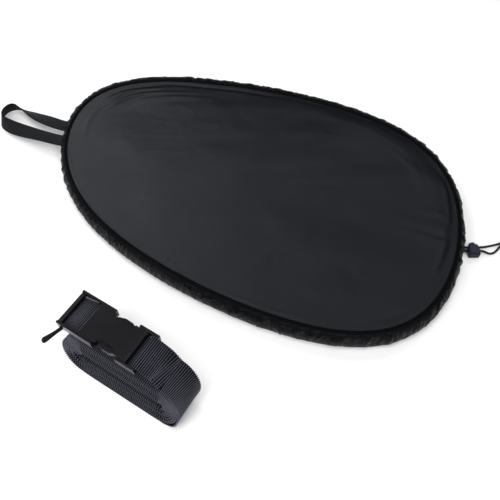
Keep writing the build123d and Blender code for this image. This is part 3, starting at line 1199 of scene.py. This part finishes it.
@dataclass
class CordEnd:
    """Cord lock, the two free cord tails, their knot and the sewn patch that they come out of."""

    wardrobe: Wardrobe
    centre: Point = (386.4, 9.4, 7.0)
    turned: float = 20.0
    diameter: float = 3.6 * MM
    tails: tuple = (
        ("cord_tail_upper", ((-17.0, 3.0, 0.0), (-3.0, 3.0, 0.0), (17.0, 3.3, -0.1), (30.0, 8.2, -3.9),
                             (42.0, 11.6, -4.9), (50.5, 13.2, -2.6))),
        ("cord_tail_lower", ((-17.0, -3.0, 0.0), (-3.0, -3.0, 0.0), (16.0, -3.3, -0.1), (25.5, -7.4, -3.6),
                             (35.0, -5.0, -4.9), (43.0, 2.5, -4.9), (49.5, 9.5, -2.6))),
    )
    braid_strands: int = 6
    braid_pitch: float = 4.2 * MM
    braid_relief: float = 0.16 * MM
    knot_centre: Point = (53.8, 12.0, -1.7)
    knot_size: Point = (2.6, 2.05, 1.15)
    knot_samples: int = 120
    knot_ends: tuple = (
        ((54, 13.6, -1.8), (59, 15.4, -2.6), (64, 17.0, -3.8), (67.2, 18.4, -4.4)),
        ((54, 10.2, -1.8), (59, 9.4, -2.8), (64, 7.8, -4.0), (68.0, 7.2, -4.6)),
    )
    patch_start: float = -25.5
    patch_depth: float = 7.9
    patch_half: tuple[float, float] = (9.6, 6.2)
    patch_rings: int = 9
    patch_points: int = 48
    eyelet_x: float = -17.4
    eyelet_radius: float = 2.55
    eyelet_roll: float = 0.6
    eyelet_points: tuple[int, int] = (32, 10)
    spring_foot: Point = (0.0, -12.35, 0.0)
    spring_keep: float = 0.42

    def __post_init__(self) -> None:
        """Set up the lock's own frame."""
        self.frame = Matrix.Translation(Vector(self.centre) * MM) @ Matrix.Rotation(
            math.radians(self.turned), 4, "Z"
        )

    def place(self, point: Sequence[float]) -> Vector:
        """Point of the lock's frame, in millimetres, in the row frame, in metres."""
        return self.frame @ (Vector(point) * MM)

    def braid(self, along: float, turn: float) -> float:
        """Radius of the braided cord: strands that cross both ways.

        Args:
            along: distance along the cord.
            turn: angle round it.

        Returns:
            The radius there.
        """
        round_it, along_it = self.braid_strands * turn / 2, 2 * math.pi * along / self.braid_pitch
        one, two = math.sin(round_it + along_it), math.sin(round_it - along_it)
        return self.diameter / 2 + self.braid_relief * (max(one * one, two * two) - 0.7)

    def tail(
        self, name: str, route: Sequence[Point], carried: Sequence[bpy.types.Object] = ()
    ) -> bpy.types.Object:
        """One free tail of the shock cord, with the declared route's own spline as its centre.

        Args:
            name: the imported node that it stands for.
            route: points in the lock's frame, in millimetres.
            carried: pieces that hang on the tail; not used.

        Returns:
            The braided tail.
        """
        line = route_line([self.place(point) for point in route], 40)
        made = tube_skin(line, self.braid, 24, name + "_braid")
        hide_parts(name)
        self.wardrobe.dress(made, Finish.CORD, "elastic_cord")
        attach(made, "cover")
        return made

    def sealed(self, left: float) -> float:
        """Radius near a cord's melted end, by the length left to it: a small bead with a rounded tip."""
        bead = 1.0 + 0.16 * math.exp(-((left / MM - 1.0) ** 2))
        return self.diameter / 2 * bead * (1.0 if left > 0.4 * MM else 0.8)

    def knot(self) -> bpy.types.Object:
        """Overhand knot drawn tight, with its two short ends.

        Returns:
            The knot and its ends as one piece.
        """
        wide, tall, deep = self.knot_size
        line = []
        for i in range(self.knot_samples + 1):
            t = 2 * math.pi * i / self.knot_samples
            local = Vector((
                math.sin(3 * t) * wide,
                (math.cos(t) - 2 * math.cos(2 * t)) * tall,
                (math.sin(t) + 2 * math.sin(2 * t)) * deep,
            ))
            line.append(self.place(Vector(self.knot_centre) + local))
        body = tube_skin(line, lambda along, turn: self.braid(along, turn) * 1.02, 18, "tail_knot")
        ends = []
        for i, route in enumerate(self.knot_ends):
            path = smooth_line([self.place(point) for point in route], 14)
            total = lengths(path)[-1]
            ends.append(
                tube_skin(path, lambda along, turn, total=total: self.sealed(total - along), 18, f"knot_end_{i}")
            )
        joined = join([body, *ends], "tail_knot")
        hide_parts("cord_knot")
        self.wardrobe.dress(joined, Finish.CORD, "elastic_cord")
        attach(joined, "cover")
        return joined

    def patch(self) -> bpy.types.Object:
        """Sewn patch that both cord ends come out of, as a small padded flap.

        Returns:
            The patch.
        """
        count, rings = self.patch_points, self.patch_rings
        half_width, half_height = self.patch_half
        rows = []
        for i in range(rings):
            depth = i / (rings - 1)
            x = self.patch_start + self.patch_depth * math.sin(depth * math.pi / 2)
            shrink = 1.0 - 0.30 * depth**5
            row = []
            for k in range(count):
                turn = 2 * math.pi * k / count
                flat = abs(math.cos(turn)) ** 0.55 * math.copysign(1, math.cos(turn))
                tall = abs(math.sin(turn)) ** 0.7 * math.copysign(1, math.sin(turn))
                wrinkle = 0.35 * ripple(turn * 2.2, depth * 2.0, 31.0, 2)
                y, z = (half_width + wrinkle) * flat * shrink, 0.2 + (half_height + wrinkle) * tall * shrink
                row.append(self.place((x + wrinkle, y, z)))
            rows.append(row)
        along = [0.012 * i / (rings - 1) for i in range(rings)]
        across = [0.052 * k / count for k in range(count + 1)]
        made = Skin(rows, along, across, caps=True).build("cord_exit_patch")
        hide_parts("cord_exit_tab")
        self.wardrobe.dress(made, Finish.BINDING, "binding_tape")
        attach(made, "cover")
        return made

    def eyelets(self) -> list[bpy.types.Object]:
        """Rolled cloth rings round the two cords, where they leave the patch.

        Returns:
            The two rings.
        """
        made = []
        steps, points = self.eyelet_points
        for name, side in (("exit_eyelet_upper", 3.0), ("exit_eyelet_lower", -3.0)):
            rows = []
            for i in range(steps):
                turn = 2 * math.pi * i / steps
                row = []
                for k in range(points):
                    bend = 2 * math.pi * k / points
                    radius = self.eyelet_radius + self.eyelet_roll * math.cos(bend)
                    x = self.eyelet_x + self.eyelet_roll * math.sin(bend)
                    row.append(self.place((x, side + radius * math.cos(turn), radius * math.sin(turn))))
                rows.append(row)
            along = [0.016 * i / steps for i in range(steps + 1)]
            across = [0.0038 * k / points for k in range(points + 1)]
            ring = Skin(rows, along, across, loop_rows=True).build(name)
            self.wardrobe.dress(ring, Finish.THREAD, "binding_tape")
            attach(ring, "cover")
            made.append(ring)
        return made

    def build(self) -> None:
        """Make the cords and dress the lock."""
        upper, lower = self.tails
        self.tail(*upper, carried=[self.knot()])
        self.tail(*lower)
        self.patch()
        self.eyelets()
        for node, finish, slot in (
            ("cord_lock_barrel", Finish.LOCK, "lock_plastic"),
            ("cord_lock_plunger", Finish.LOCK, "lock_plastic"),
            ("cord_lock_spring", Finish.SPRING, "spring_steel"),
            ("shock_cord", Finish.CORD, "elastic_cord"),
        ):
            dress_node(node, finish, self.wardrobe)
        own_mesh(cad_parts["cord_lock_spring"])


def join(parts: Sequence[bpy.types.Object], name: str) -> bpy.types.Object:
    """Join plain mesh objects into the first.

    Args:
        parts: objects at the origin.
        name: of the result.

    Returns:
        The joined object.
    """
    work = bmesh.new()
    for part in parts:
        work.from_mesh(part.data)
    mesh = parts[0].data
    work.to_mesh(mesh)
    work.free()
    mesh.shade_smooth()
    for part in parts[1:]:
        bpy.data.objects.remove(part)
    parts[0].name = name
    return parts[0]


def dress_node(node: str, finish: Finish, wardrobe: Wardrobe) -> None:
    """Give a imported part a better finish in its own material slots.

    Args:
        node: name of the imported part.
        finish: its finish.
        wardrobe: where the finish's material is kept.
    """
    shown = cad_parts[node]
    material = wardrobe.get(finish)
    if shown.data.materials:
        for i in range(len(shown.data.materials)):
            shown.data.materials[i] = material
    else:
        shown.data.materials.append(material)
    LOG.info("%s: packed part, %s", node, material.name)


# --- The grab loop ---


@dataclass
class GrabLoop:
    """Loop of flat webbing whose far end stands on edge, sewn in at two roots.

    The hinge is in metres; the stations are centres in millimetres, each with the way the width points.
    """

    wardrobe: Wardrobe
    width: float = 25 * MM
    gauge: float = 1.8 * MM
    steps: int = 14
    bend_before: float = 3 * MM
    bend_after: float = 9 * MM
    hinge: Point = (-0.3643, -0.0054, 0.025)
    axis: Point = (-0.299, 0.954, 0.0)
    stations: tuple = (
        ((-348.0, 18.7, 28.0), (-0.299, 0.954, 0.0)), ((-358.0, 15.5, 26.6), (-0.299, 0.954, 0.0)),
        ((-369.7, 11.85, 25.0), (-0.299, 0.954, 0.0)), ((-405.0, 17.0, 20.0), (-0.1, 1.0, -0.05)),
        ((-440.0, 24.0, 15.0), (0.0, 0.93, -0.36)), ((-468.0, 31.0, 13.0), (-0.1, 0.66, -0.75)),
        ((-490.0, 34.0, 13.0), (-0.2, 0.3, -0.93)), ((-501.0, 27.0, 13.0), (-0.3, 0.1, -0.95)),
        ((-504.5, 14.0, 13.0), (-0.3, 0.0, -0.95)), ((-501.0, 1.0, 13.0), (-0.25, -0.15, -0.95)),
        ((-492.0, -9.0, 13.0), (-0.15, -0.45, -0.88)), ((-470.0, -15.0, 13.5), (0.0, -0.8, -0.6)),
        ((-440.0, -18.0, 15.5), (0.0, -0.95, -0.3)), ((-405.0, -20.5, 20.0), (0.1, -1.0, -0.05)),
        ((-358.9, -22.7, 25.0), (0.299, -0.954, 0.0)), ((-347.5, -19.1, 26.6), (0.299, -0.954, 0.0)),
        ((-337.5, -16.0, 28.0), (0.299, -0.954, 0.0)),
    )

    def build(self) -> None:
        """Make and dress the loop."""
        centres = smooth_line([Vector(centre) * MM for centre, _ in self.stations], self.steps)
        sides = smooth_line([Vector(side) for _, side in self.stations], self.steps)
        section = flat_section(self.width, self.gauge)
        made = ribbon_skin(centres, sides, section, "grab_loop_webbing")
        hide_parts("grab_loop", "loop_anchor")
        self.wardrobe.dress(made, Finish.LOOP, "loop_webbing")
        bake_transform(made)


# --- The strap ---


@dataclass
class Strap:
    """Tie-down strap wound flat, its leads through the buckle and its sewn tail."""

    wardrobe: Wardrobe
    place_at: Point = (-44.5, -383.4, 0.0)
    turned: float = -12.0
    width: float = 50 * MM
    gauge: float = 2.0 * MM
    straight: float = 68.0
    radius: float = 33.6
    pitch: float = 3.5
    half_turns: int = 18
    loose_corner: tuple = (-50.0, 22.0, 3.5)
    skew: float = 0.3
    rib_spacing: float = 2.9 * MM
    rib_proud: float = 0.32 * MM
    buckle_base: float = 73.0
    buckle_middle: float = 24.0
    first_level: float = 35.0
    arc_steps: int = 36
    run_steps: int = 12
    layer_slack: float = 0.35
    layer_sway: float = 0.9
    lead: tuple = ((13.9, 1.7), (17.6, 2.2), (20.2, 4.6), (20.6, 8.6), (21.6, 12.4), (26.0, 13.6),
                   (32.0, 12.8), (42.0, 8.6), (54.0, 2.4))
    lead_join: float = 0.35
    lead_lift: float = 0.0012
    lead_bend_end: tuple[float, float] = (34.0, 12.0)
    end_web: tuple = ((-103.0, 2.0), (-96.0, 3.4), (-88.0, 6.4), (-81.0, 8.9), (-75.5, 9.4), (-71.0, 8.2),
                      (-69.4, 5.6), (-71.2, 3.0), (-78.0, 1.6))
    rib_length: float = 1.5 * MM
    rib_overhang: float = 0.3 * MM
    tail_route: tuple = ((-94, 16), (-97, 8), (-100, -2), (-103.5, -13), (-107, -23), (-109.8, -29.5), (-111.5, -33))
    tail_halves: tuple = (4.4, 3.6, 2.9, 2.8, 4.0, 4.9, 2.4)
    tail_gauge: float = 4.4 * MM

    def __post_init__(self) -> None:
        """Set up the strap's and the buckle's frames."""
        spot = Matrix.Translation(Vector(self.place_at) * MM)
        self.frame = spot @ Matrix.Rotation(math.radians(self.turned), 4, "Z")
        self.across = (self.frame.to_3x3() @ Vector((0, 1, 0))).normalized()

    def place(self, x: float, y: float, z: float) -> Vector:
        """Point of the strap's frame, in millimetres, in the row frame, in metres."""
        return self.frame @ (Vector((x, y, z)) * MM)

    def in_buckle(self, x: float, z: float) -> Vector:
        """Point on the buckle's middle line."""
        return self.place(x, self.buckle_middle, z + self.buckle_base)

    def settled(self, x: float, z: float, layer: int, phase: float, bow: float = 0.0) -> Vector:
        """Point of the winding, with each layer's slack, sideways sway and lean.

        Args:
            x: along the roll, in millimetres.
            z: height in millimetres.
            layer: number of the half turn, from the outside.
            phase: share of the half turn that is done.
            bow: how far the run bellies there.

        Returns:
            The point in the row frame.
        """
        slack = self.layer_slack * ripple(x * 0.012, z * 0.03, 40.0 + layer * 0.3, 2)
        sway = self.layer_sway * ripple(layer * 0.5 + phase, 0.3, 44.0, 2)
        return self.place(x, (z + bow) * self.skew + sway, z + bow + slack)

    def wound(self) -> list[Vector]:
        """Centre line of the wound webbing, from its outer end inwards.

        Returns:
            The line's points in metres.
        """
        line: list[Vector] = []
        reach = self.straight
        corner, corner_spread, corner_slack = self.loose_corner
        for k in range(self.half_turns):
            right = k % 2 == 0
            way = 1 if right else -1
            middle = self.first_level if right else self.first_level - self.pitch / 2
            size = self.radius - k * self.pitch / 2
            for i in range(self.arc_steps + 1):
                turn = way * math.pi / 2 - math.pi * i / self.arc_steps
                bulge = corner_slack * hill(math.degrees(turn), corner, corner_spread) if k == 0 else 0.0
                x = way * reach + (size + bulge) * math.cos(turn)
                z = max(middle + (size + bulge) * math.sin(turn), self.gauge / MM)
                line.append(self.settled(x, z, k, 0.5 * i / self.arc_steps))
            if k < self.half_turns - 1:
                z = middle - way * size
                for i in range(1, self.run_steps):
                    share = i / self.run_steps
                    bow = (1.1 if right else -0.9) * math.sin(math.pi * share) * min(1.0, k / 6)
                    line.append(self.settled(way * reach * (1 - 2 * share), z, k, 0.5 + 0.5 * share, bow))
        return line

    def ribbon(self, name: str, line: Sequence[Vector], node: str) -> tuple[bpy.types.Object, bpy.types.Object]:
        """Webbing along a line with its crosswise ribs.

        Args:
            name: of the webbing; its ribs take the name with _ribs.
            line: centre points in metres.
            node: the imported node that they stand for.

        Returns:
            The webbing and its ribs.
        """
        sides = [self.across] * len(line)
        web = ribbon_skin(line, sides, flat_section(self.width, self.gauge), name)
        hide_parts(node)
        self.wardrobe.dress(web, Finish.STRAP, "strap_webbing")
        ribs = RowMaker(Motif.RIB).along(
            name + "_ribs", line, sides, self.wardrobe.get(Finish.RIB),
            Spacing=self.rib_spacing, Length=self.rib_length, Width=self.width + self.rib_overhang,
            Height=self.gauge + 2 * self.rib_proud, Scatter=0.0,
        )
        self.wardrobe.dress(ribs, Finish.RIB, "strap_webbing")
        return web, ribs

    def tail(self) -> bpy.types.Object:
        """Folded and sewn end of the strap, with its teardrop tip.

        Returns:
            The sewn tail.
        """
        line = smooth_line([self.place(x, y, 70.0 - 0.1 * i * i) for i, (x, y) in enumerate(self.tail_route)], 8)
        widths = smooth_line([Vector((half, 0, 0)) for half in self.tail_halves], 8)
        section = flat_section(1.0, 1.0, 0.3)
        rows = []
        for i, centre in enumerate(line):
            side = tangent(line, i).cross(Vector((0, 0, 1))).normalized()
            wide = 2 * widths[i].x * MM
            rows.append([centre + side * x * wide + Vector((0, 0, z * self.tail_gauge)) for x, z in section])
        edge = [x * 8 * MM for x, _ in [*section, section[0]]]
        made = Skin(rows, lengths(line), edge, caps=True).build("strap_sewn_tail")
        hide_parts("strap_tail")
        self.wardrobe.dress(made, Finish.LOOP, "strap_webbing")
        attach(made, "strap")
        return made

    def build(self) -> None:
        """Make, dress and fasten the strap and dress the buckle."""
        line = self.wound()
        web, ribs = self.ribbon("wound_strap", line, "strap_roll")
        for piece in (web, ribs):
            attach(piece, "strap")
        top = line[0]
        lead = [self.in_buckle(x, z) for x, z in self.lead]
        lead += [top.lerp(lead[-1], self.lead_join) + Vector((0, 0, self.lead_lift)), top]
        path = smooth_line(lead, 8)
        web, ribs = self.ribbon("strap_lead_web", path, "strap_lead")
        for piece in (web, ribs):
            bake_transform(piece)
        path = smooth_line([self.in_buckle(x, z) for x, z in self.end_web], 8)
        web, ribs = self.ribbon("strap_end_fold", path, "strap_end_web")
        for piece in (web, ribs):
            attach(piece, "strap")
        self.tail()
        for node in ("buckle_female", "buckle_male", "prong_near", "prong_far"):
            dress_node(node, Finish.BUCKLE, self.wardrobe)


# --- The studio ---


class Lamp(NamedTuple):
    """Round soft panel: its name, place and size in metres, and power in watts."""

    name: str
    spot: Point
    size: float
    power: float


@dataclass
class Studio:
    """Pale floor, soft lights and the camera."""

    wardrobe: Wardrobe
    azimuth: float = 20.0
    elevation: float = 57.0
    distance: float = 0.9718
    view: float = 46.0
    target: Point = (0.0426, -0.1129, 0.0)
    bright_side: Point = (-0.75, -0.35, 0.56)
    surround: tuple[float, float, float, float] = (0.05, 0.75, 0.16, 1.0)
    backdrop: float = 0.9
    floor_half: float = 6.0
    floor_level: float = -0.0004
    lit_point: Point = (0.0, -0.05, 0.0)
    lamps: tuple[Lamp, ...] = (
        Lamp("window_panel", (-1.75, 0.95, 1.55), 1.4, 27.0),
        Lamp("far_panel", (0.50, 1.55, 1.95), 0.8, 11.0),
        Lamp("top_panel", (0.10, -0.60, 2.6), 2.0, 44.0),
        Lamp("front_panel", (-0.9, -1.8, 2.0), 1.4, 26.0),
        Lamp("side_panel", (1.6, -1.2, 2.1), 1.2, 24.0),
    )

    def floor(self) -> None:
        """Wide pale floor just under the hem."""
        size = self.floor_half
        corners = [Vector((x * size, y * size, self.floor_level)) for x, y in ((-1, -1), (1, -1), (1, 1), (-1, 1))]
        made = mesh_object("studio_floor", corners, [[0, 1, 2, 3]], outward=False)
        made.data.materials.append(self.wardrobe.get(Finish.FLOOR))

    def camera(self) -> None:
        """Camera that looks down along the cover's diagonal."""
        data = bpy.data.cameras.new("camera")
        data.sensor_fit = "HORIZONTAL"
        data.angle = math.radians(self.view)
        data.clip_start = 0.01
        data.dof.use_dof = False
        made = bpy.data.objects.new("camera", data)
        turn, lift = math.radians(self.azimuth), math.radians(self.elevation)
        back = Vector((math.sin(turn) * math.cos(lift), -math.cos(turn) * math.cos(lift), math.sin(lift)))
        made.location = Vector(self.target) + back * self.distance
        made.rotation_euler = back.to_track_quat("Z", "Y").to_euler()
        bpy.context.scene.collection.objects.link(made)
        bpy.context.scene.camera = made

    def lights(self) -> None:
        """Big soft panels and a bright, even surround."""
        for lamp in self.lamps:
            data = bpy.data.lights.new(lamp.name, "AREA")
            data.shape = "DISK"
            data.size = lamp.size
            data.energy = lamp.power
            made = bpy.data.objects.new(lamp.name, data)
            made.location = lamp.spot
            made.rotation_euler = (Vector(lamp.spot) - Vector(self.lit_point)).to_track_quat("Z", "Y").to_euler()
            bpy.context.scene.collection.objects.link(made)
        world = bpy.data.worlds.new("surround")
        world.use_nodes = True
        tree = Tree(world.node_tree.nodes, world.node_tree.links)
        back = world.node_tree.nodes["Background"]
        way = tree.add("ShaderNodeTexCoord").outputs["Generated"]
        toward = tree.add("ShaderNodeVectorMath", {"operation": "DOT_PRODUCT"})
        tree.links.new(way, toward.inputs[0])
        toward.inputs[1].default_value = self.bright_side
        level = tree.add("ShaderNodeMapRange", Value=toward.outputs["Value"])
        for label, value in zip(("From Min", "From Max", "To Min", "To Max"), self.surround):
            level.inputs[label].default_value = value
        seen = tree.add("ShaderNodeLightPath").outputs["Is Camera Ray"]
        shown = tree.math("MULTIPLY", seen, self.backdrop)
        lit = tree.math("MULTIPLY", level.outputs[0], tree.math("SUBTRACT", 1.0, seen))
        tree.links.new(tree.math("ADD", shown, lit), back.inputs["Strength"])
        bpy.context.scene.world = world
        bpy.context.scene.view_settings.view_transform = "Standard"

    def build(self) -> None:
        """Set up floor, camera and lights."""
        self.floor()
        self.camera()
        self.lights()


def main() -> None:
    """Build the studio, the cords, the cover and the strap in order."""
    logging.basicConfig(level=logging.INFO, format="%(name)s %(message)s")
    wardrobe = Wardrobe()
    Studio(wardrobe).build()
    CordEnd(wardrobe).build()
    Cover(Rim(), wardrobe).build()
    GrabLoop(wardrobe).build()
    Strap(wardrobe).build()
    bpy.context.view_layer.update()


if __name__ == "__main__":
    main()
